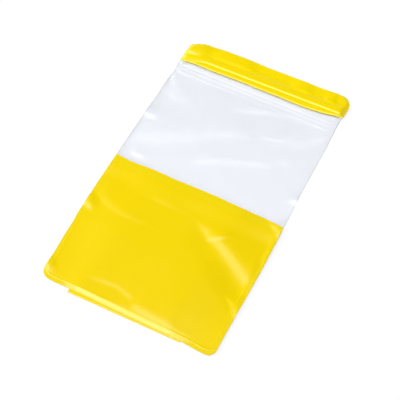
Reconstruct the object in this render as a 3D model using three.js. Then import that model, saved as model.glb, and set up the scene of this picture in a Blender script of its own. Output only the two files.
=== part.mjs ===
// Waterproof phone pouch: a flat pocket of soft film, welded round its edge, lying on its back.
// Front and back are each three films, a yellow lower panel, a clear window and a yellow lip, welded
// where they lap. Under the lips a press-seal tape closes the mouth. A strip of the same yellow film is
// folded under the bottom edge.
// X runs across the pouch, +Y towards the mouth and +Z up, away from the table.
// A place along the pouch is given as its distance down from the top edge, called s.
import * as THREE from "three";
import { mergeVertices } from "three/addons/utils/BufferGeometryUtils.js";

const { lerp, smoothstep } = THREE.MathUtils;

// Outline of the pouch, in mm
const WIDTH = 120;
const LENGTH = 205;
const TOP_CORNER = 9;
const BOTTOM_CORNER = 5.5;
const FLANGE = 3;

// The film, and the air left between two layers
const FILM = 0.4;
const GAP = 0.1;
const LAYER = FILM + GAP;

// Where the films start and end, as distances from the top edge
const LIP_END = 19.2;
const WINDOW_START = 16.2;
const SEAM = 109;
const LAP = 6;
const LAP_RAMP = 2;

// Heights above the table
const EDGE_HEIGHT = 1.3;
const BODY_RISE = 3.7;
const ZIP_RISE = 1.1;
const MOUTH_RISE = 0.3;

// How far the pillow shape takes to rise from the edge
const SIDE_SHOULDER = 20;
const FRONT_BOTTOM_SHOULDER = 45;
const BACK_BOTTOM_SHOULDER = 35;
const MOUTH_FLAT = 4;
const MOUTH_SHOULDER = 12;
const BODY_START = 55;

// The press-seal tapes
const TAPE_START = 14.7;
const TAPE_END = 32.8;
const TAPE_HALF_LENGTH = 56.8;
const TAPE_WEB = 0.4;
const TAPE_SPACE = 1;
const BEAD_RADIUS = 0.8;
const BEAD_RISE = 0.8;
const BEAD_REACH = 1.9;
const RIB_AT = 25.75;
const JAW_OFFSET = 1.25;
const GUIDE_AT = 30.5;
const BEAD_ROOT = TAPE_START + BEAD_RADIUS + TAPE_WEB;
const RAIL_HEIGHT = 0.8;
const RAIL_HALF_WIDTH = 0.35;
const RIB_STEM = 0.25;
const RIB_HEAD = 0.5;

// The strip folded under the bottom edge
const STRIP_WIDTH = 76;
const STRIP_LEG = 20;
const STRIP_WELD = 3;
const STRIP_FOLD_OUT = 1;
const STRIP_SKEW = THREE.MathUtils.degToRad(1.3);

// Columns of every film, as shares of its half width: close together over the shoulder and the flange
const SHOULDER_COLUMNS = [1, 0.8, 0.6, 0.4, 0.2, 0].map((t) => 1 - (FLANGE + SIDE_SHOULDER * t) / (WIDTH / 2));
const HALF_COLUMNS = [0.3, ...SHOULDER_COLUMNS, 1 - FLANGE / WIDTH, 1];
const COLUMNS = [...HALF_COLUMNS.map((u) => -u).reverse(), 0, ...HALF_COLUMNS];

const yellowFilm = new THREE.MeshStandardMaterial({ color: 0xf7db00, roughness: 0.25, metalness: 0 });
const clearFilm = new THREE.MeshStandardMaterial({
  color: 0xeff2f7,
  roughness: 0.1,
  metalness: 0,
  transparent: true,
  opacity: 0.3,
});
const clearTape = new THREE.MeshStandardMaterial({
  color: 0xf2f5f8,
  roughness: 0.3,
  metalness: 0,
  transparent: true,
  opacity: 0.45,
});

// Place along Y of a distance from the top edge.
function along(s) {
  return LENGTH / 2 - s;
}

// How far a rounded corner pulls the side in, at a distance from the end of the pouch.
function cornerInset(radius, distance) {
  const short = Math.max(radius - distance, 0);
  return radius - Math.sqrt(radius * radius - short * short);
}

function halfWidth(s) {
  return WIDTH / 2 - cornerInset(TOP_CORNER, s) - cornerInset(BOTTOM_CORNER, LENGTH - s);
}

// Distances from an end at which a rounded corner has its vertices.
function cornerRows(radius, count) {
  return Array.from({ length: count + 1 }, (_, i) => radius * (1 - Math.cos((i / count) * (Math.PI / 2))));
}

function evenRows(from, to, count) {
  return Array.from({ length: count + 1 }, (_, i) => lerp(from, to, i / count));
}

// 0 in the side weld, 1 where the film has reached its full height. The tapes are stiff, so beside them
// the film drops within the flange itself.
function across(x, s) {
  const body = smoothstep(s, TAPE_END, BODY_START);
  const inset = lerp(0, FLANGE, body);
  const shoulder = lerp(FLANGE, SIDE_SHOULDER, body);
  return smoothstep(halfWidth(s) - Math.abs(x), inset, inset + shoulder);
}

// Height of the front film over the flange, down the middle of the pouch.
function crown(s) {
  const mouth = lerp(MOUTH_RISE, ZIP_RISE, smoothstep(s, MOUTH_FLAT, MOUTH_SHOULDER));
  const body = lerp(mouth, BODY_RISE, smoothstep(s, TAPE_END, BODY_START));
  const bottom = LENGTH - FLANGE;
  return body * (1 - smoothstep(s, bottom - FRONT_BOTTOM_SHOULDER, bottom));
}

// 1 where a clear film and a yellow film lap.
function lapped(s) {
  const upper = smoothstep(s, WINDOW_START - LAP_RAMP, WINDOW_START) - smoothstep(s, LIP_END, LIP_END + LAP_RAMP);
  const lower = smoothstep(s, SEAM - LAP_RAMP, SEAM) - smoothstep(s, SEAM + LAP, SEAM + LAP + LAP_RAMP);
  return upper + lower;
}

// Underside of the back films: flat on the table, rising to the welded edge.
function backOuter(x, s) {
  const mouth = smoothstep(s, 0, MOUTH_SHOULDER);
  const bottom = 1 - smoothstep(s, LENGTH - FLANGE - BACK_BOTTOM_SHOULDER, LENGTH - FLANGE);
  return EDGE_HEIGHT * (1 - across(x, s) * mouth * bottom);
}

// Underside of the back window, which lies inside the yellow films where they lap.
function backInner(x, s) {
  return backOuter(x, s) + LAYER * lapped(s);
}

// Underside of the front window. In the side weld it lies on the back films, so it steps up at a lap.
function frontInner(x, s) {
  const weld = 1 - across(x, s);
  return EDGE_HEIGHT + LAYER + crown(s) * (1 - weld) + LAYER * lapped(s) * weld;
}

// Underside of the yellow front panel, which lies over the window where they lap.
function frontPanelUnderside(x, s) {
  return frontInner(x, s) + LAYER * lapped(s);
}

// Underside of the yellow front lip, which runs over the bead of the tape as well.
function frontLipUnderside(x, s) {
  const offBead = Math.min(Math.abs(s - TAPE_START) / BEAD_REACH, 1);
  const bead = (BEAD_RISE * (1 + Math.cos(Math.PI * offBead))) / 2;
  const inward = smoothstep(TAPE_HALF_LENGTH + FLANGE - Math.abs(x), 0, FLANGE);
  return frontInner(x, s) + Math.max(LAYER * lapped(s), bead * inward);
}

// A film as one closed sheet: a slab with a row of vertices at each distance in rows, laid on underside.
function film(name, material, rows, underside) {
  const wide = COLUMNS.length - 1;
  const long = rows.length - 1;
  const slab = new THREE.BoxGeometry(wide, long, 1, wide, long, 1);
  slab.deleteAttribute("normal");
  slab.deleteAttribute("uv");
  const geometry = mergeVertices(slab);
  const position = geometry.getAttribute("position");
  for (let i = 0; i < position.count; i++) {
    const column = Math.round(position.getX(i) + wide / 2);
    const s = rows[Math.round(long / 2 - position.getY(i))];
    const x = COLUMNS[column] * halfWidth(s);
    const lift = position.getZ(i) > 0 ? FILM : 0;
    position.setXYZ(i, x, along(s), underside(x, s) + lift);
  }
  geometry.computeVertexNormals();
  return named(name, geometry, material);
}

// A bar of constant section along X. The section's points are given as [s, height].
function bar(name, material, section, halfLength) {
  const outline = new THREE.Shape(section.map(([s, z]) => new THREE.Vector2(along(s), z)));
  const geometry = new THREE.ExtrudeGeometry(outline, { depth: 2 * halfLength, bevelEnabled: false });
  geometry.translate(0, 0, -halfLength);
  const toAlong = new THREE.Vector3(0, 1, 0);
  const toUp = new THREE.Vector3(0, 0, 1);
  const toAcross = new THREE.Vector3(1, 0, 0);
  geometry.applyMatrix4(new THREE.Matrix4().makeBasis(toAlong, toUp, toAcross));
  return named(name, geometry, material);
}

function named(name, geometry, material) {
  const mesh = new THREE.Mesh(geometry, material);
  mesh.name = name;
  return mesh;
}

// Rows of the three films, the same for front and back.
function lipRows() {
  const beadRows = evenRows(TAPE_START - BEAD_REACH, TAPE_START + 1.5, 4);
  return [...cornerRows(TOP_CORNER, 4), 10, ...beadRows, LIP_END];
}

function windowRows() {
  const zipRows = [WINDOW_START, LIP_END, LIP_END + LAP_RAMP];
  const slopeRows = evenRows(TAPE_END, BODY_START, 5);
  return [...zipRows, ...slopeRows, 80, SEAM - LAP_RAMP, SEAM, SEAM + LAP];
}

function panelRows() {
  const seamRows = [SEAM, SEAM + LAP, SEAM + LAP + LAP_RAMP];
  const bottomRows = cornerRows(BOTTOM_CORNER, 4).map((d) => LENGTH - d);
  const flangeAt = LENGTH - FLANGE;
  const slopeRows = evenRows(flangeAt - FRONT_BOTTOM_SHOULDER, LENGTH - BOTTOM_CORNER - LAP_RAMP, 6);
  return [...seamRows, 136, ...slopeRows, ...bottomRows.reverse()];
}

// Levels of the two tapes between the back film and the front film.
const FRONT_WEB_TOP = EDGE_HEIGHT + LAYER + ZIP_RISE - GAP;
const FRONT_WEB_BOTTOM = FRONT_WEB_TOP - TAPE_WEB;
const BACK_WEB_TOP = FRONT_WEB_BOTTOM - TAPE_SPACE;
const BACK_WEB_BOTTOM = BACK_WEB_TOP - TAPE_WEB;

// A rail's outline from one side to the other, standing up or down from a web at height base.
function rail(at, base, direction) {
  const tip = base + direction * RAIL_HEIGHT;
  return [
    [at - RAIL_HALF_WIDTH, base],
    [at - RAIL_HALF_WIDTH, tip],
    [at + RAIL_HALF_WIDTH, tip],
    [at + RAIL_HALF_WIDTH, base],
  ];
}

// The rib that snaps into the groove: a stem with an arrow head.
function rib(at, base) {
  const shoulder = base - RAIL_HEIGHT / 2;
  return [
    [at - RIB_STEM, base],
    [at - RIB_STEM, shoulder],
    [at - RIB_HEAD, shoulder],
    [at, base - RAIL_HEIGHT],
    [at + RIB_HEAD, shoulder],
    [at + RIB_STEM, shoulder],
    [at + RIB_STEM, base],
  ];
}

// The back tape carries the groove, which is two jaws side by side.
function backTapeSection() {
  return [
    [TAPE_START, BACK_WEB_BOTTOM],
    [TAPE_START, BACK_WEB_TOP],
    ...rail(RIB_AT - JAW_OFFSET, BACK_WEB_TOP, 1),
    ...rail(RIB_AT + JAW_OFFSET, BACK_WEB_TOP, 1),
    [TAPE_END, BACK_WEB_TOP],
    [TAPE_END, BACK_WEB_BOTTOM],
  ];
}

// The front tape carries the rib and a guide rail, and ends at the top in a round bead.
function frontTapeSection() {
  const turns = evenRows((3 * Math.PI) / 2, Math.PI / 6, 8);
  const bead = turns.map((turn) => [
    TAPE_START + BEAD_RADIUS * Math.cos(turn),
    FRONT_WEB_TOP + BEAD_RADIUS * Math.sin(turn),
  ]);
  return [
    ...bead,
    [BEAD_ROOT, FRONT_WEB_TOP],
    [TAPE_END, FRONT_WEB_TOP],
    [TAPE_END, FRONT_WEB_BOTTOM],
    ...rail(GUIDE_AT, FRONT_WEB_BOTTOM, -1).reverse(),
    ...rib(RIB_AT, FRONT_WEB_BOTTOM).reverse(),
    [BEAD_ROOT, FRONT_WEB_BOTTOM],
  ];
}

// The strip: a short leg welded under the bottom edge, a round fold, and a long leg back along the table.
function stripSection() {
  const radius = (EDGE_HEIGHT - GAP) / 2;
  const centre = LENGTH + STRIP_FOLD_OUT - radius;
  const turns = evenRows(Math.PI / 2, -Math.PI / 2, 6);
  const arc = (r) => turns.map((turn) => [centre + r * Math.cos(turn), radius + r * Math.sin(turn)]);
  return [
    [LENGTH - STRIP_WELD, 2 * radius],
    ...arc(radius),
    [LENGTH - STRIP_LEG, 0],
    [LENGTH - STRIP_LEG, FILM],
    ...arc(radius - FILM).reverse(),
    [LENGTH - STRIP_WELD, 2 * radius - FILM],
  ];
}

const front = new THREE.Group();
front.add(
  film("front_lip", yellowFilm, lipRows(), frontLipUnderside),
  film("front_window", clearFilm, windowRows(), frontInner),
  film("front_lower_panel", yellowFilm, panelRows(), frontPanelUnderside),
  bar("front_zip_tape", clearTape, frontTapeSection(), TAPE_HALF_LENGTH),
);

const back = new THREE.Group();
back.add(
  film("back_lip", yellowFilm, lipRows(), backOuter),
  film("back_window", clearFilm, windowRows(), backInner),
  film("back_lower_panel", yellowFilm, panelRows(), backOuter),
  bar("back_zip_tape", clearTape, backTapeSection(), TAPE_HALF_LENGTH),
);

// The strip was welded a little askew, turned about the middle of the bottom edge, so that its left end
// stands out further than its right.
const bottomEdge = new THREE.Group();
bottomEdge.position.y = along(LENGTH);
bottomEdge.rotation.z = STRIP_SKEW;
const strip = bar("bottom_strip", yellowFilm, stripSection(), STRIP_WIDTH / 2);
strip.position.y = -along(LENGTH);
bottomEdge.add(strip);

// The origin is the middle of the space the pouch takes up, on the table.
const pouch = new THREE.Group();
pouch.add(front, back, bottomEdge);
const middle = new THREE.Box3().setFromObject(pouch, true).getCenter(new THREE.Vector3());
pouch.position.set(-middle.x, -middle.y, 0);

export default pouch;
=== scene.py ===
import math
from collections import namedtuple
import bpy
import numpy as np
from mathutils import Matrix, Vector


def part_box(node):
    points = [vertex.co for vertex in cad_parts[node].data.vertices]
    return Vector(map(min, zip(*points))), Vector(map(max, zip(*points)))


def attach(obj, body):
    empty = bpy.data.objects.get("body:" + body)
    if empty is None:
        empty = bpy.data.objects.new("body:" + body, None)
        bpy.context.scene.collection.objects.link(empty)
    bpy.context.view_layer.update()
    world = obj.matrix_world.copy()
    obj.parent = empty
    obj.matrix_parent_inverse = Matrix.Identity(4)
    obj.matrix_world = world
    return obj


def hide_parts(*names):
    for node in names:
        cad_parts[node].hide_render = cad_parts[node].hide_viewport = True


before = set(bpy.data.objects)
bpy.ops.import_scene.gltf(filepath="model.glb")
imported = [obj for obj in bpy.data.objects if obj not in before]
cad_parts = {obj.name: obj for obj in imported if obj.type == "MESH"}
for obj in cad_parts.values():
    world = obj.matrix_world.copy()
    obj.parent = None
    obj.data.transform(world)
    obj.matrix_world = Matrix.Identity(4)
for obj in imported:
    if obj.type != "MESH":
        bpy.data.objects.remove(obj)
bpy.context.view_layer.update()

# Looks of a waterproof phone pouch: calendered soft PVC film, yellow and clear, welded by high frequency.
# Lengths are in millimetres until a mesh is placed. A place along the pouch is s, the distance down from
# its top edge, and x runs across it from its middle.
MM = 0.001

# Outline, from the parts in model.glb
top_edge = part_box("front_lip")[1].y
bottom_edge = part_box("front_lower_panel")[0].y
side_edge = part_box("front_window")[1].x
WIDTH = 2 * side_edge / MM
LENGTH = (top_edge - bottom_edge) / MM
TOP_CORNER = 9
BOTTOM_CORNER = 5.5
FLANGE = 3

# Film, and the air left between two layers of it
FILM = 0.4
GAP = 0.1
LAYER = FILM + GAP

# Ends of the films, as distances from the top edge
LIP_END = 19.2
WINDOW_START = 16.2
SEAM = 109
LAP = 6
LAP_RAMP = 2

# How far the soft edges wander from the straight outline in the photo, measured through the fitted camera.
# Each is a list of (place along the edge, distance outwards).
LEFT_CUT = (
    (0, -2.6), (5, -1.2), (8, -2.4), (11, -2.1), (14, -1.45), (17, -1.5), (20, -1.1), (26, -1.3), (32, -1.7),
    (38, -0.95), (44, -0.8), (56, -0.9), (62, -0.6), (74, -0.55), (86, -0.2), (98, -0.1), (104, 0.1),
    (109, -0.2), (115, -0.15), (121, 0.1), (133, 0.42), (145, 0.1), (157, 0.35), (163, -0.3), (175, -0.4),
    (187, -1.05), (199, -1.28), (205, -1.2),
)
LIP_RIGHT_CUT = ((0, 1.5), (5, 1.4), (8, 1.15), (11, 1.05), (14, 0.8), (17, 0.3), (20, 0))
WINDOW_RIGHT_CUT = (
    (15, 0.2), (20, 0), (28, 0), (36, 0.2), (46, 0.5), (56, 0.3), (80, 0.1), (92, 0.4), (104, 0.8),
    (109, 0.7), (115, 0.7),
)
PANEL_RIGHT_CUT = (
    (105, 0.6), (115, 0.87), (127, 0.92), (139, 1), (151, 0.85), (163, 0.67), (175, 0.4), (187, 0.15),
    (205, 0.05),
)
TOP_CUT = (
    (-60, -3.3), (-56, -3), (-48, -2.7), (-40, -1.7), (-32, -1.3), (-16, -1.1), (-8, -0.95), (0, -1.1),
    (8, -1), (16, -0.85), (24, -1.2), (32, -1.1), (40, -0.85), (48, -0.8), (56, 0.3), (60, 0.2),
)
BOTTOM_CUT = (
    (-60, -0.7), (-56, -0.5), (-48, 0), (-40, -0.4), (-30, -0.35), (0, 0), (40, -0.35), (48, 0.2),
    (56, 0.45), (60, 0.5),
)
LIP_LOWER_CUT = (
    (-60, 2.2), (-56, 2.1), (-48, 1.2), (-40, 1.45), (-32, 1.5), (-24, 1.2), (-8, 0.95), (0, 1.25), (8, 1.15),
    (16, 1.05), (24, 1.3), (32, 1.3), (40, 0.9), (48, 0.1), (56, -1.4), (60, -1.8),
)
SEAM_CUT = (
    (-60, 0.75), (-56, 0.55), (-48, -0.25), (-40, -0.1), (-32, 0.05), (-16, -0.35), (0, 0), (16, 0.1),
    (24, -0.3), (40, -0.3), (48, 0), (60, -1),
)

# Heights and shoulders of the pillow shape
EDGE_HEIGHT = 1.3
BODY_RISE = 2.0
ZIP_RISE = 1.1
MOUTH_RISE = 0.9
SIDE_SHOULDER = 30
BACK_SIDE_SHOULDER = 20
FRONT_BOTTOM_SHOULDER = 45
BACK_BOTTOM_SHOULDER = 35
MOUTH_FLAT = 2
MOUTH_SHOULDER = 14
BODY_START = 58
LONG_RIPPLE = 0.22
SHORT_RIPPLE = 0.07

# The mark that the edge weld leaves, and the dots that the electrode presses into a lap weld
RIDGE_HEIGHT = 0.1
RIDGE_REACH = 0.35
DOT_HEIGHT = 0.06
DOT_SPACING_ALONG = 2.2
DOT_SPACING_ACROSS = 2

# Press-seal tapes behind the window's upper end, and the rails that print through it
TAPE_END = 32.8
TAPE_HALF_LENGTH = 56.8
RAILS = (24.3, 27.0, 30.5)
RAIL_PRINT = 0.28
RAIL_REACH = 0.7

# The bead across the lip, where the film passes over the tapes' upper edges. It spreads out and ends
# towards the left. Each pair is its value left of the spread and right of it.
BEAD_CREST = 15.2
BEAD_SKEW = -0.0115
BEAD_RISE = 1.1
BEAD_SPREAD = (-52, -40)
BEAD_NEAR = (7.5, 2.3)
BEAD_FAR = (14, 9)
BACK_LIP_SHORTER = 1.3

# The strip folded under the bottom edge
STRIP_WIDTH = 76
STRIP_LEG = 20
STRIP_WELD = 3
STRIP_FOLD_OUT = 1
STRIP_SKEW = math.radians(1.3)

# How the strip holds the front film up above it: where that starts and ends across and along the pouch
STRIP_SWELL = 1.1
SWELL_LEFT = (-46, -31)
SWELL_RIGHT = (24, 48)
SWELL_CLIMB = (158, 200.8)
SWELL_DROP = (201.2, 205)

# Camera, fitted to the four edges of the pouch in the photo
CAMERA_AT = (164.5, -285.4, 545.6)
CAMERA_YAW = math.radians(-30.22)
CAMERA_PITCH = math.radians(59.71)
CAMERA_ROLL = math.radians(-3.26)
FOCAL_PIXELS = 992.5
FRAME_PIXELS = 400
SENSOR = 36


def linear(colour):
    """An sRGB hex colour as linear red, green, blue and alpha."""
    channels = [int(colour[i : i + 2], 16) / 255 for i in (1, 3, 5)]
    return tuple(c / 12.92 if c <= 0.04045 else ((c + 0.055) / 1.055) ** 2.4 for c in channels) + (1.0,)


def add(tree, kind, settings=(), inputs=(), **links):
    """Adds a node, sets its properties and its inputs' values, and links sockets to its inputs by name."""
    made = tree.nodes.new(kind)
    for name, value in dict(settings).items():
        setattr(made, name, value)
    for name, value in dict(inputs).items():
        made.inputs[name].default_value = value
    for name, socket in links.items():
        tree.links.new(socket, made.inputs[int(name[1:]) if name[1:].isdigit() else name.replace("_", " ")])
    return made


def new_material(name):
    material = bpy.data.materials.new(name)
    material.use_nodes = True
    material.node_tree.nodes.clear()
    return material, material.node_tree


# The film's outline
def smooth(value, start, end):
    t = np.clip((value - start) / (end - start), 0, 1)
    return t * t * (3 - 2 * t)


def mix(a, b, t):
    return a + (b - a) * t


def wander(at, cut):
    """How far a cut edge stands out at a place, from its table, rounded over a few millimetres."""
    places, offsets = np.array(cut).T
    fine = np.arange(places[0] - 10, places[-1] + 10, 0.25)
    window = np.hanning(25)
    rounded = np.convolve(np.interp(fine, places, offsets), window / window.sum(), mode="same")
    return np.interp(at, fine, rounded)


def corner_inset(radius, distance):
    short = np.maximum(radius - distance, 0)
    return radius - np.sqrt(radius * radius - short * short)


def half_width(s):
    return WIDTH / 2 - corner_inset(TOP_CORNER, s) - corner_inset(BOTTOM_CORNER, LENGTH - s)


def edge_distance(x, s):
    """Distance in from the straight outline with its rounded corners."""
    radius = np.where(s < LENGTH / 2, TOP_CORNER, BOTTOM_CORNER)
    beyond_x = np.abs(x) - WIDTH / 2 + radius
    beyond_s = np.abs(s - LENGTH / 2) - LENGTH / 2 + radius
    outside = np.hypot(np.maximum(beyond_x, 0), np.maximum(beyond_s, 0))
    return radius - outside - np.minimum(np.maximum(beyond_x, beyond_s), 0)


def lip_end(x):
    return LIP_END + wander(x, LIP_LOWER_CUT)


def seam(x):
    return SEAM - wander(x, SEAM_CUT)


# A point of a film: where it is, how far in from its side edge, and how far in from the whole outline
Point = namedtuple("Point", "x s side inset")

# What shapes a film's outline: its right edge, and how far its first and last rows move along the pouch,
# with the stretch of film that gives way to them
Cut = namedtuple("Cut", "right first first_reach last last_reach")
STRAIGHT = ((-60, 0), (60, 0))
LIP_CUT = Cut(LIP_RIGHT_CUT, TOP_CUT, -14, LIP_LOWER_CUT, 3.5)
WINDOW_CUT = Cut(WINDOW_RIGHT_CUT, STRAIGHT, 1, STRAIGHT, 1)
PANEL_CUT = Cut(PANEL_RIGHT_CUT, SEAM_CUT, -4, BOTTOM_CUT, 14)


# The pillow shape
def across(p, shoulder_at_body):
    """0 in the side weld, 1 where the film has reached its full height."""
    body = smooth(p.s, TAPE_END, BODY_START)
    inset = mix(0, FLANGE, body)
    shoulder = mix(FLANGE, shoulder_at_body, body)
    return smooth(p.side, inset, inset + shoulder)


def crown(s):
    """Height of the front film over the flange, down the middle."""
    mouth = mix(MOUTH_RISE, ZIP_RISE, smooth(s, MOUTH_FLAT, MOUTH_SHOULDER))
    body = mix(mouth, BODY_RISE, smooth(s, TAPE_END, BODY_START))
    flange_at = LENGTH - FLANGE
    return body * (1 - smooth(s, flange_at - FRONT_BOTTOM_SHOULDER, flange_at))


def lapped(p):
    """1 where a clear film and a yellow film lap."""
    edge = lip_end(p.x)
    upper = smooth(p.s, WINDOW_START - LAP_RAMP, WINDOW_START) - smooth(p.s, edge, edge + LAP_RAMP)
    start = seam(p.x)
    lower = smooth(p.s, start - LAP_RAMP, start) - smooth(p.s, SEAM + LAP, SEAM + LAP + LAP_RAMP)
    return upper + lower


# Share of a fold's near slope that is rounded at each end
ROUNDED_PART = 0.42

# Folds that the film has taken. Each is a path of (x, y) points from the middle of the pouch, along the
# middle of its near slope, with that slope's angle, its width at the path's start and end, and how far the
# film takes to fall away on the far side. Seen along the path, the far side is on the left. Some folds have
# a dip at the foot of the near slope, given as its depth and how far the film takes to come up again.
Fold = namedtuple(
    "Fold",
    "path angle near_start near_end far fade_in fade_out dip dip_reach",
    defaults=(0, 1),
)
PANEL_FOLDS = (
    Fold(((4, -26), (23, -32.3), (40, -41), (66, -55.6)), 10.9, 8, 17, 26, 0.3, 0, 0.7, 14),
    Fold(((20.5, -38.5), (28.8, -32.4), (37, -26)), 13.5, 2.8, 2, 6, 0.3, 0.35),
    Fold(((-67, -31.5), (-50, -39.8), (-36, -44), (8, -44.5)), 8.5, 10, 4, 18, 0, 0.85),
    Fold(((-36, -25), (-14, -25.4), (12, -26)), 5.8, 6, 5, 16, 0.4, 0.5),
    Fold(((-36, -91), (-22, -89.8), (-12, -88.6), (4, -93)), 4.4, 5.5, 5, 24, 0.35, 0.15),
    Fold(((-2, -94.9), (12, -96.4), (34, -97.6)), 5, 7, 8, 24, 0.2, 0.25),
)
EDGE_FOLDS = (
    Fold(((-68, -42), (-58, -47), (-50, -52)), 14, 7.5, 4, 7, 0, 0.5),
    Fold(((48, -6), (55, -9.5), (66, -16)), 12.5, 4, 8, 9, 0.4, 0),
    Fold(((46, -63), (55, -68), (66, -80)), 12, 4, 7, 9, 0.4, 0),
    Fold(((-68, -88), (-57, -97), (-52, -101)), 13, 6, 4, 6, 0, 0.4),
    Fold(((58.8, -14), (58.4, -27), (59, -40)), 17, 3, 3, 4, 0.4, 0.4),
    Fold(((-70, 32.7), (-56, 30.7), (-47, 30.2)), 15, 6, 5, 8, 0, 0.25),
    Fold(((52, 12), (58, 12.6), (68, 13)), 15, 3.5, 7, 6, 0.4, 0),
)
WINDOW_FOLDS = (
    Fold(((-55, 0.3), (-48, -0.6), (-40, -0.8)), 16, 4, 3.4, 7, 0.3, 0.4),
    Fold(((-70, 6), (-40, 17), (-10, 33), (18, 50)), 7.3, 17, 9, 24, 0, 0.2),
    Fold(((-16, 8), (5, 18), (30, 28), (42, 32)), 8.8, 8, 6, 16, 0.2, 0.2),
    Fold(((16, 45), (32, 50), (42, 61)), 13.6, 5, 4.5, 9, 0.4, 0.3),
    Fold(((-12, 54), (5, 63), (18, 69), (34, 72)), 13.6, 6, 7, 10, 0.25, 0.35),
    Fold(((38, 33), (47, 39)), 13.6, 5, 4.4, 7, 0.4, 0.4),
    Fold(((-68, 58), (-46, 50), (-32, 48)), 10.8, 7, 5, 12, 0, 0.5),
)
LIP_FOLDS = (
    Fold(((-70, 84), (-48, 91.3), (-34, 99.5)), 18.2, 10, 8, 18, 0, 0.35),
    Fold(((-46, 92), (-20, 92.8), (-3, 93)), 21.5, 5, 4.4, 16, 0.3, 0.3),
    Fold(((16, 92.3), (28, 93.1), (38, 93.8)), 21.5, 3.8, 3.8, 16, 0.4, 0.4),
    Fold(((42, 92), (54, 93.5)), 19, 3, 3, 16, 0.4, 0.4),
)


def climb(t):
    """0 to 1 at an even slope, with rounded ends."""
    ends = ROUNDED_PART
    t = np.clip(t, 0, 1)
    level = 1 / (1 - ends)
    start = level * t * t / (2 * ends)
    finish = 1 - level * (1 - t) ** 2 / (2 * ends)
    return np.where(t < ends, start, np.where(t > 1 - ends, finish, level * (t - ends / 2)))


def along_path(x, y, path):
    """Signed distance to a path, positive on its far side, and how far along it, from 0 to 1."""
    best = np.full(x.shape, np.inf)
    signed = np.zeros(x.shape)
    place = np.zeros(x.shape)
    steps = [math.dist(a, b) for a, b in zip(path, path[1:])]
    done = 0
    for (ax, ay), (bx, by), step in zip(path, path[1:], steps):
        dx, dy = (bx - ax) / step, (by - ay) / step
        t = np.clip((x - ax) * dx + (y - ay) * dy, 0, step)
        off_x, off_y = x - ax - t * dx, y - ay - t * dy
        gap = np.hypot(off_x, off_y)
        nearer = gap < best
        best = np.where(nearer, gap, best)
        side = dx * (y - ay) - dy * (x - ax)
        signed = np.where(nearer, np.sign(side) * gap, signed)
        place = np.where(nearer, (done + t) / sum(steps), place)
        done += step
    return signed, place


def rounded_path(path):
    """The path with its corners rounded, as about thirty points on a smooth curve."""
    if len(path) < 3:
        return path
    knots = np.array(path, dtype=float)
    steps = np.concatenate([[0], np.cumsum(np.hypot(*np.diff(knots, axis=0).T))])
    fine = np.linspace(0, steps[-1], 121)
    window = np.hanning(27)
    window = window / window.sum()
    curve = []
    for axis in (0, 1):
        straight = np.interp(fine, steps, knots[:, axis])
        before = 2 * straight[0] - straight[13:0:-1]
        after = 2 * straight[-1] - straight[-2:-15:-1]
        padded = np.concatenate([before, straight, after])
        curve.append(np.convolve(padded, window, mode="valid"))
    return [tuple(point) for point in np.array(curve).T[::4]]


def folds(p, made):
    """Height that the folds add to the film."""
    y = LENGTH / 2 - p.s
    height = np.zeros(p.x.shape)
    for fold in made:
        signed, place = along_path(p.x, y, rounded_path(fold.path))
        taper = smooth(place, -0.001, fold.fade_in) * (1 - smooth(place, 1 - fold.fade_out, 1.001))
        near = mix(fold.near_start, fold.near_end, place) * mix(0.5, 1, taper)
        slope = math.tan(math.radians(fold.angle)) * near * (1 - ROUNDED_PART) * taper
        dip = fold.dip * taper
        t = signed / near + 0.5
        fall = 1 - smooth(signed, near / 2, near / 2 + fold.far)
        low = 1 - smooth(-signed, near / 2, near / 2 + fold.dip_reach)
        height += np.where(t < 1, slope * climb(t), (slope - dip) * fall)
        height -= dip * np.where(t < 0, low, np.where(t < 1, 1, 0))
    return height


def ripple(p):
    """The slack film's slight undulation: a long wave and a shorter one."""
    first = np.sin(0.055 * p.x + 0.031 * p.s + 0.6) * np.sin(0.043 * p.s - 0.021 * p.x)
    second = np.sin(0.11 * p.x - 0.06 * p.s + 2.1) * np.sin(0.09 * p.s + 0.05 * p.x + 1.3)
    return LONG_RIPPLE * first + SHORT_RIPPLE * second


def edge_waves(p):
    """Waves of the welded edge, which both films follow."""
    return folds(p, EDGE_FOLDS)


def front_folds(p):
    free = smooth(p.inset, FLANGE - 0.5, FLANGE + 3)
    loose = smooth(p.inset, FLANGE - 1, FLANGE + mix(9, 3, smooth(p.x, -20, 20)))
    below_zip = smooth(p.s, TAPE_END - 4, TAPE_END + 3)
    made = folds(p, PANEL_FOLDS + WINDOW_FOLDS) * mix(0.35, 1, loose)
    return (made + ripple(p) * free) * below_zip + edge_waves(p)


def front_inner(p):
    """Underside of the front window. In the side weld it lies on the back films."""
    weld = 1 - across(p, SIDE_SHOULDER)
    base = EDGE_HEIGHT + LAYER + crown(p.s) * (1 - weld) + LAYER * lapped(p) * weld
    return base + front_folds(p)


def back_outer(p):
    """Underside of the back films: flat on the table, rising to the welded edge."""
    mouth = smooth(p.s, 0, MOUTH_SHOULDER)
    flange_at = LENGTH - FLANGE
    bottom = 1 - smooth(p.s, flange_at - BACK_BOTTOM_SHOULDER, flange_at)
    level = EDGE_HEIGHT * (1 - across(p, BACK_SIDE_SHOULDER) * mouth * bottom)
    return level + edge_waves(p) * (1 - smooth(p.inset, FLANGE, FLANGE + 6))


def weld_line(p):
    """The thin ridge that the edge weld leaves where the flange meets the pocket."""
    return RIDGE_HEIGHT * np.exp(-(((p.inset - FLANGE) / RIDGE_REACH) ** 2))


def knurl(p, start, end):
    """The rows of dots that the electrode presses into a lap weld."""
    inside = smooth(p.s, start, start + 0.3) * (1 - smooth(p.s, end - 0.3, end))
    along = np.cos(2 * math.pi * (p.s - start) / DOT_SPACING_ALONG)
    crosswise = np.cos(2 * math.pi * p.x / DOT_SPACING_ACROSS)
    return DOT_HEIGHT * along * crosswise * inside


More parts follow.
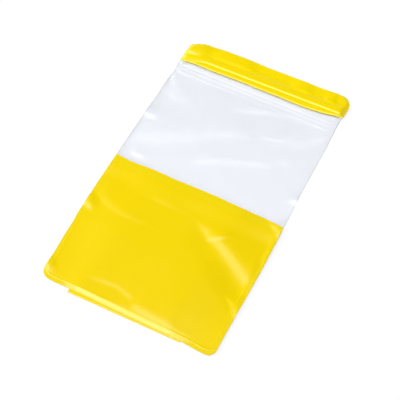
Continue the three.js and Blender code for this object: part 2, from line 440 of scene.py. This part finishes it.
def front_window(p):
    prints = sum(RAIL_PRINT * np.exp(-(((p.s - at) / RAIL_REACH) ** 2)) for at in RAILS)
    inward = smooth(TAPE_HALF_LENGTH - np.abs(p.x), 0, 2)
    return front_inner(p) + prints * inward + weld_line(p)


def front_panel(p):
    start = seam(p.x)
    hatching = knurl(p, start + 1.2, start + 5.6)
    lap = smooth(p.s, start - LAP_RAMP, start) * (1 - smooth(p.s, SEAM + LAP, SEAM + LAP + 12))
    in_weld = LAYER * (lap - lapped(p)) * (1 - across(p, SIDE_SHOULDER))
    return front_inner(p) + LAYER * lap + in_weld + weld_line(p) + hatching + strip_swell(p)


def strip_swell(p):
    """The folded strip behind the bottom flange holds the front film up, and it drops to its cut edge."""
    over_strip = smooth(p.x, *SWELL_LEFT) * (1 - smooth(p.x, *SWELL_RIGHT))
    return STRIP_SWELL * over_strip * smooth(p.s, *SWELL_CLIMB) * (1 - smooth(p.s, *SWELL_DROP))


def front_lip(p):
    crest = BEAD_CREST + BEAD_SKEW * p.x
    sharp = smooth(p.x, *BEAD_SPREAD)
    reach = np.where(p.s > crest, mix(*BEAD_NEAR, sharp), mix(*BEAD_FAR, sharp))
    bead = BEAD_RISE * (1 + np.cos(math.pi * np.minimum(np.abs(p.s - crest) / reach, 1))) / 2
    inward = smooth(TAPE_HALF_LENGTH + FLANGE - np.abs(p.x), 0, FLANGE)
    strength = mix(0.4, 1, smooth(p.x, -30, 30))
    edge = lip_end(p.x)
    hatching = strength * knurl(p, edge - 2.4, edge - 0.3)
    before_bead = 1 - smooth(p.s, crest - 3, crest)
    turned_down = 0.3 * smooth(p.s, edge - 0.9, edge)
    laid = np.maximum(LAYER * lapped(p), bead * inward)
    return front_inner(p) + laid + hatching + folds(p, LIP_FOLDS) * before_bead - turned_down


def back_window(p):
    return back_outer(p) + LAYER * lapped(p)


def welded(p):
    """1 where the films are fused: the flange round the edge and the hatched lap welds."""
    flange = 1 - smooth(p.inset, FLANGE - 0.3, FLANGE + 0.1)
    edge = lip_end(p.x)
    upper = smooth(p.s, edge - 2.6, edge - 2.2) - smooth(p.s, edge - 0.4, edge)
    start = seam(p.x)
    lower = smooth(p.s, start + 1, start + 1.4) - smooth(p.s, start + 5.8, start + 6.2)
    return np.clip(flange + upper + lower, 0, 1)


# Making the films
def deselect_all():
    if bpy.context.object and bpy.context.object.mode != "OBJECT":
        bpy.ops.object.mode_set(mode="OBJECT")
    bpy.ops.object.select_all(action="DESELECT")


# How wide the border at each side of a film is that has its columns close together
FINE_BORDER = 5


def columns(fine, middle):
    """Shares of the half width, close together in the border at each side."""
    border = FINE_BORDER / (WIDTH / 2)
    edge = np.linspace(1 - border, 1, round(FINE_BORDER / fine) + 1)
    inner = np.linspace(-(1 - border), 1 - border, round((WIDTH - 2 * FINE_BORDER) / middle) + 1)
    return np.concatenate([-edge[:0:-1], inner, edge[1:]])


def rows(*stretches):
    """Distances from the top edge, over stretches of (start, end, step)."""
    parts = [np.linspace(a, b, max(round((b - a) / step), 1) + 1)[:-1] for a, b, step in stretches]
    return np.concatenate([*parts, [stretches[-1][1]]])


def moved_row(at, x, cut):
    """Where a row really runs, once the film's first and last edges have wandered."""
    first = 1 - smooth(at, at.min(), at.min() + abs(cut.first_reach))
    last = smooth(at, at.max() - cut.last_reach, at.max())
    return at + math.copysign(1, cut.first_reach) * wander(x, cut.first) * first + wander(x, cut.last) * last


def thicken(piece, finish, cut_edge):
    """Gives a laid out sheet the film's thickness, with its cut edge in a material of its own."""
    piece.data.materials.append(finish)
    piece.data.materials.append(cut_edge)
    thick = piece.modifiers.new("film thickness", "SOLIDIFY")
    thick.thickness = FILM * MM
    thick.offset = 1
    thick.material_offset_rim = 1
    bpy.ops.object.modifier_apply(modifier=thick.name)
    bpy.ops.object.shade_smooth_by_angle(angle=math.radians(40))


def film(name, node, shares, at, cut, underside, finish, cut_edge):
    """A film: a grid laid out to the pouch's outline, raised to its shape, and given the film's thickness."""
    deselect_all()
    wide, long = len(shares) - 1, len(at) - 1
    bpy.ops.mesh.primitive_grid_add(x_subdivisions=wide, y_subdivisions=long, size=2)
    piece = bpy.context.object
    piece.name = piece.data.name = name
    co = np.zeros(len(piece.data.vertices) * 3)
    piece.data.vertices.foreach_get("co", co)
    co = co.reshape(-1, 3)
    column = np.rint((co[:, 0] + 1) / 2 * wide).astype(int)
    row = np.rint((1 - co[:, 1]) / 2 * long).astype(int)
    share = shares[column]
    drawn = at[row]
    outline = half_width(drawn)
    left = share * (outline + wander(drawn, LEFT_CUT))
    right = share * (outline + wander(drawn, cut.right))
    x = np.where(share < 0, left, right)
    s = moved_row(drawn, x, cut)
    p = Point(x, s, (1 - np.abs(share)) * outline, edge_distance(share * outline, drawn))
    placed = np.stack([x * MM, top_edge - s * MM, underside(p) * MM], axis=1)
    piece.data.vertices.foreach_set("co", placed.ravel())
    piece.data.update()
    # The rim mask marks a narrow band at each side edge, where the clear film is painted grey as shade
    for field, values in (("weld", welded(p)), ("rim", 1 - smooth(p.side, 0.25, 0.5))):
        piece.data.attributes.new(field, "FLOAT", "POINT").data.foreach_set("value", values)
    thicken(piece, finish, cut_edge)
    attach(piece, "root")
    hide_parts(node)
    return piece


def bottom_strip(finish, cut_edge):
    """The strip: a grid bent round the fold, from the short leg under the flange to the long leg's end."""
    deselect_all()
    long, round_fold, wide = 12, 16, 60
    bpy.ops.mesh.primitive_grid_add(x_subdivisions=wide, y_subdivisions=2 * long + round_fold, size=2)
    piece = bpy.context.object
    piece.name = piece.data.name = "folded_bottom_strip"
    radius = (EDGE_HEIGHT - GAP) / 2
    fold_at = LENGTH + STRIP_FOLD_OUT - radius
    inner = radius - FILM
    turn = np.linspace(math.pi / 2, -math.pi / 2, round_fold + 1)
    path = [(s, radius + inner) for s in np.linspace(LENGTH - STRIP_WELD, fold_at, long + 1)[:-1]]
    path += [(fold_at + inner * math.cos(a), radius + inner * math.sin(a)) for a in turn]
    path += [(s, radius - inner) for s in np.linspace(fold_at, LENGTH - STRIP_LEG, long + 1)[1:]]
    path = np.array(path)
    co = np.zeros(len(piece.data.vertices) * 3)
    piece.data.vertices.foreach_get("co", co)
    co = co.reshape(-1, 3)
    row = np.rint((1 - co[:, 1]) / 2 * (len(path) - 1)).astype(int)
    x = co[:, 0] * STRIP_WIDTH / 2
    y = LENGTH - path[row, 0]
    turned_x = x * math.cos(STRIP_SKEW) - y * math.sin(STRIP_SKEW)
    turned_y = x * math.sin(STRIP_SKEW) + y * math.cos(STRIP_SKEW)
    placed = np.stack([turned_x * MM, top_edge + (turned_y - LENGTH) * MM, path[row, 1] * MM], axis=1)
    piece.data.vertices.foreach_set("co", placed.ravel())
    piece.data.update()
    thicken(piece, finish, cut_edge)
    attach(piece, "root")
    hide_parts("bottom_strip")


# Materials
PVC_IOR = 1.53


def yellow_pvc(name, colour, roughness):
    """Opaque yellow soft PVC, calendered to a high gloss. The gloss breaks up a little where the rolls
    left the film uneven, and the colour shifts slightly with its thickness."""
    material, tree = new_material(name)
    place = add(tree, "ShaderNodeTexCoord")
    where = place.outputs["Object"]
    # Clouds of about 35 mm, and a grain of about 1 mm
    cloud = add(tree, "ShaderNodeTexNoise", inputs={"Scale": 28, "Detail": 2}, Vector=where)
    grain = add(tree, "ShaderNodeTexNoise", inputs={"Scale": 900, "Detail": 2}, Vector=where)
    tone = add(tree, "ShaderNodeMix", {"data_type": "RGBA"}, _0=cloud.outputs["Fac"])
    tone.inputs[6].default_value = linear(colour[0])
    tone.inputs[7].default_value = linear(colour[1])
    fused = add(tree, "ShaderNodeAttribute", {"attribute_name": "weld"})
    body = add(tree, "ShaderNodeMix", {"data_type": "RGBA"}, _0=fused.outputs["Fac"], _6=tone.outputs[2])
    body.inputs[7].default_value = linear(colour[2])
    gloss = add(
        tree,
        "ShaderNodeMapRange",
        inputs={"To Min": roughness - 0.03, "To Max": roughness + 0.05},
        Value=cloud.outputs["Fac"],
    )
    bump = add(
        tree,
        "ShaderNodeBump",
        inputs={"Strength": 0.15, "Distance": 0.00005},
        Height=grain.outputs["Fac"],
    )
    shader = add(
        tree,
        "ShaderNodeBsdfPrincipled",
        inputs={"IOR": PVC_IOR},
        Base_Color=body.outputs[2],
        Roughness=gloss.outputs["Result"],
        Normal=bump.outputs["Normal"],
    )
    add(tree, "ShaderNodeOutputMaterial", Surface=shader.outputs["BSDF"])
    return material


def clear_pvc(name, colour, roughness, milkiness):
    """Clear soft PVC, calendered to a high gloss. It is a faint grey blue, and lets light straight
    through to what lies under it. Along the film's side edges it takes the second, greyer colour:
    painted shade for the dark line that a cut edge shows."""
    material, tree = new_material(name)
    place = add(tree, "ShaderNodeTexCoord")
    edge_shade_mask = add(tree, "ShaderNodeAttribute", {"attribute_name": "rim"})
    body = add(tree, "ShaderNodeMix", {"data_type": "RGBA"}, _0=edge_shade_mask.outputs["Fac"])
    body.inputs[6].default_value = linear(colour[0])
    body.inputs[7].default_value = linear(colour[1])
    # Ripples of about 17 mm
    ripples = add(
        tree,
        "ShaderNodeTexNoise",
        inputs={"Scale": 60, "Detail": 2},
        Vector=place.outputs["Object"],
    )
    bump = add(
        tree,
        "ShaderNodeBump",
        inputs={"Strength": 0.2, "Distance": 0.0003},
        Height=ripples.outputs["Fac"],
    )
    shader = add(
        tree,
        "ShaderNodeBsdfPrincipled",
        inputs={"IOR": PVC_IOR, "Roughness": roughness, "Transmission Weight": 1 - milkiness},
        Base_Color=body.outputs[2],
        Normal=bump.outputs["Normal"],
    )
    passing = add(tree, "ShaderNodeBsdfTransparent", Color=body.outputs[2])
    rays = add(tree, "ShaderNodeLightPath")
    both = add(
        tree,
        "ShaderNodeMixShader",
        _0=rays.outputs["Is Shadow Ray"],
        _1=shader.outputs["BSDF"],
        _2=passing.outputs["BSDF"],
    )
    add(tree, "ShaderNodeOutputMaterial", Surface=both.outputs["Shader"])
    return material


def extruded_tape():
    """Clear press-seal tape, extruded in the same soft PVC. It lets nearly all light through, and the die
    left it a slight milkiness in streaks along its length."""
    material, tree = new_material("extruded_clear_tape")
    place = add(tree, "ShaderNodeTexCoord")
    drawn = add(tree, "ShaderNodeMapping", inputs={"Scale": (8, 900, 900)}, Vector=place.outputs["Object"])
    streaks = add(
        tree,
        "ShaderNodeTexNoise",
        inputs={"Scale": 1, "Detail": 1},
        Vector=drawn.outputs["Vector"],
    )
    haze = add(
        tree,
        "ShaderNodeMapRange",
        inputs={"From Min": 0.3, "From Max": 0.7, "To Min": 0.04, "To Max": 0.12},
        Value=streaks.outputs["Fac"],
    )
    clear_part = add(tree, "ShaderNodeBsdfTransparent", inputs={"Color": (1, 1, 1, 1)})
    milky_part = add(
        tree,
        "ShaderNodeBsdfPrincipled",
        inputs={"Base Color": linear("#F0F2F4"), "IOR": 1.5, "Roughness": 0.25},
    )
    both = add(
        tree,
        "ShaderNodeMixShader",
        _0=haze.outputs["Result"],
        _1=clear_part.outputs["BSDF"],
        _2=milky_part.outputs["BSDF"],
    )
    add(tree, "ShaderNodeOutputMaterial", Surface=both.outputs["Shader"])
    return material


def looked_at(tree, rays):
    """1 for a ray that looks at the stage straight, in a reflection or through the film."""
    camera_or_glossy = add(
        tree,
        "ShaderNodeMath",
        {"operation": "MAXIMUM"},
        _0=rays.outputs["Is Camera Ray"],
        _1=rays.outputs["Is Glossy Ray"],
    )
    all_three = add(
        tree,
        "ShaderNodeMath",
        {"operation": "MAXIMUM"},
        _0=camera_or_glossy.outputs["Value"],
        _1=rays.outputs["Is Transmission Ray"],
    )
    return all_three.outputs["Value"]


def floor_finish():
    """A pale sweep that shows white, and keeps a faint shadow of what lies on it."""
    material, tree = new_material("pale_floor")
    lit = add(tree, "ShaderNodeBsdfDiffuse", inputs={"Color": (0.2, 0.2, 0.2, 1)})
    glow = add(tree, "ShaderNodeEmission", inputs={"Color": (0.99, 0.995, 1, 1), "Strength": 0.81})
    seen = add(tree, "ShaderNodeAddShader", _0=lit.outputs["BSDF"], _1=glow.outputs["Emission"])
    plain = add(tree, "ShaderNodeBsdfDiffuse", inputs={"Color": (0.8, 0.8, 0.8, 1)})
    rays = add(tree, "ShaderNodeLightPath")
    both = add(
        tree,
        "ShaderNodeMixShader",
        _0=looked_at(tree, rays),
        _1=plain.outputs["BSDF"],
        _2=seen.outputs["Shader"],
    )
    add(tree, "ShaderNodeOutputMaterial", Surface=both.outputs["Shader"])
    return material


yellow = yellow_pvc("calendered_yellow_pvc", ("#F6D700", "#F9DA00", "#F6DA08"), 0.2)
# The lip's film is the same yellow PVC, painted lighter here: painted light for the brighter light that falls
# on the top of the pouch
lip_yellow_painted_lighter = yellow_pvc("calendered_yellow_pvc_painted_lighter_at_the_lip", ("#FEE100", "#FFE400", "#FEE208"), 0.2)
# The cut edge is painted a little darker than the face: painted shade for the dark line along a cut edge
yellow_edge = yellow_pvc("cut_edge_of_yellow_pvc_with_painted_shade", ("#F0D600", "#F4DA00", "#F4DA00"), 0.35)
# Its second colour is the painted shade in the band along the side edges
clear = clear_pvc("calendered_clear_pvc", ("#F9FAFC", "#ECEFF2"), 0.24, 0.0)
# The cut edge faces are painted grey: painted shade for the dark line along a cut edge
clear_edge = clear_pvc("cut_edge_of_clear_pvc_painted_grey", ("#DDE0E4", "#DDE0E4"), 0.3, 0.3)
tape_finish = extruded_tape()

body_columns = columns(0.35, 0.6)
lip_columns = columns(0.35, 0.4)
plain_columns = columns(1, 2)
film(
    "front_lip_film",
    "front_lip",
    lip_columns,
    rows((0, TOP_CORNER, 0.6), (TOP_CORNER, LIP_END, 0.3)),
    LIP_CUT,
    front_lip,
    lip_yellow_painted_lighter,
    yellow_edge,
)
film(
    "front_window_film",
    "front_window",
    body_columns,
    rows((WINDOW_START, 34, 0.4), (34, SEAM - LAP_RAMP, 0.7), (SEAM - LAP_RAMP, SEAM + LAP, 0.5)),
    WINDOW_CUT,
    front_window,
    clear,
    clear_edge,
)
film(
    "front_lower_film",
    "front_lower_panel",
    body_columns,
    rows((SEAM, SEAM + LAP + LAP_RAMP, 0.4), (SEAM + LAP + LAP_RAMP, 199, 0.7), (199, LENGTH, 0.35)),
    PANEL_CUT,
    front_panel,
    yellow,
    yellow_edge,
)
film(
    "back_lip_film",
    "back_lip",
    plain_columns,
    rows((0, LIP_END - BACK_LIP_SHORTER, 0.8)),
    LIP_CUT,
    back_outer,
    lip_yellow_painted_lighter,
    yellow_edge,
)
film(
    "back_window_film",
    "back_window",
    plain_columns,
    rows((WINDOW_START, 22, 0.8), (22, SEAM - LAP_RAMP, 2), (SEAM - LAP_RAMP, SEAM + LAP, 1)),
    WINDOW_CUT,
    back_window,
    clear,
    clear_edge,
)
film(
    "back_lower_film",
    "back_lower_panel",
    plain_columns,
    rows((SEAM, 199, 2), (199, LENGTH, 0.5)),
    PANEL_CUT,
    back_outer,
    yellow,
    yellow_edge,
)

bottom_strip(yellow, yellow_edge)
for name in ("front_zip_tape", "back_zip_tape"):
    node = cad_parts[name]
    node.data.materials.clear()
    node.data.materials.append(tape_finish)
    # The tapes cast no shadow and aren't seen through the film, where only the print of their rails shows
    node.visible_shadow = False
    node.visible_transmission = False


# Stage
def add_floor():
    deselect_all()
    bpy.ops.mesh.primitive_plane_add(size=20, location=(0, 0, -0.0003))
    floor = bpy.context.object
    floor.name = "floor"
    floor.data.materials.append(floor_finish())


def add_softbox(name, at, size, radiance, long_side):
    """A softbox that faces the pouch, its long side along the given direction. Its power follows from
    how bright its face is."""
    lamp = bpy.data.lights.new(name, "AREA")
    lamp.shape = "RECTANGLE"
    lamp.size, lamp.size_y = size
    lamp.energy = radiance * math.pi * size[0] * size[1]
    holder = bpy.data.objects.new(name, lamp)
    bpy.context.scene.collection.objects.link(holder)
    behind = Vector(at).normalized()
    across_it = Vector(long_side)
    across_it = (across_it - behind * across_it.dot(behind)).normalized()
    up_it = behind.cross(across_it)
    turned = Matrix((across_it, up_it, behind)).transposed().to_4x4()
    holder.matrix_world = Matrix.Translation(at) @ turned


def add_world():
    """Pale walls round the table for what reflects or lets light through, and little light of its own."""
    world = bpy.data.worlds.new("studio")
    world.use_nodes = True
    world.cycles.sampling_method = "NONE"
    tree = world.node_tree
    tree.nodes.clear()
    towards = add(tree, "ShaderNodeTexCoord")
    parts = add(tree, "ShaderNodeSeparateXYZ", Vector=towards.outputs["Generated"])
    walls = add(
        tree,
        "ShaderNodeMapRange",
        inputs={"From Min": 0.35, "From Max": 0.6, "To Min": 0.97, "To Max": 0.03},
        Value=parts.outputs["Z"],
    )
    rays = add(tree, "ShaderNodeLightPath")
    level = add(
        tree,
        "ShaderNodeMix",
        {"data_type": "FLOAT"},
        {"A": 0.05},
        _0=looked_at(tree, rays),
        _3=walls.outputs["Result"],
    )
    sky = add(
        tree,
        "ShaderNodeBackground",
        inputs={"Color": (0.96, 0.98, 1, 1)},
        Strength=level.outputs[0],
    )
    add(tree, "ShaderNodeOutputWorld", Surface=sky.outputs["Background"])
    bpy.context.scene.world = world


def add_camera():
    lens = bpy.data.cameras.new("camera")
    lens.sensor_width = SENSOR
    lens.lens = FOCAL_PIXELS / FRAME_PIXELS * SENSOR
    lens.clip_start, lens.clip_end = 0.01, 40
    camera = bpy.data.objects.new("camera", lens)
    bpy.context.scene.collection.objects.link(camera)
    turn = Matrix.Rotation(-CAMERA_YAW, 4, "Z") @ Matrix.Rotation(math.pi / 2 - CAMERA_PITCH, 4, "X")
    turn = turn @ Matrix.Rotation(CAMERA_ROLL, 4, "Z")
    camera.matrix_world = Matrix.Translation(Vector(CAMERA_AT) * MM) @ turn
    bpy.context.scene.camera = camera


add_floor()
add_world()
# The near softbox gives most of the light and the streaks on slopes that face the camera, the strip the
# light along the bead, the overhead one the sheen on low folds, and the left one the spots at the left edge
along_x = (1, 0, 0)
along_y = (0, 1, 0)
add_softbox("near_softbox", (-1.5, -2.3, 4.9), (7.6, 4.6), 2.85, along_x)
add_softbox("strip_softbox", (-1.2, -1.98, 4.0), (4.6, 0.45), 5.5, along_x)
add_softbox("overhead_softbox", (-0.5, 0.24, 5.25), (5.2, 1.3), 2.5, along_x)
add_softbox("left_softbox", (-1.1, 0.4, 0.68), (0.7, 0.7), 2.0, along_y)
add_camera()
bpy.context.scene.view_settings.view_transform = "Standard"
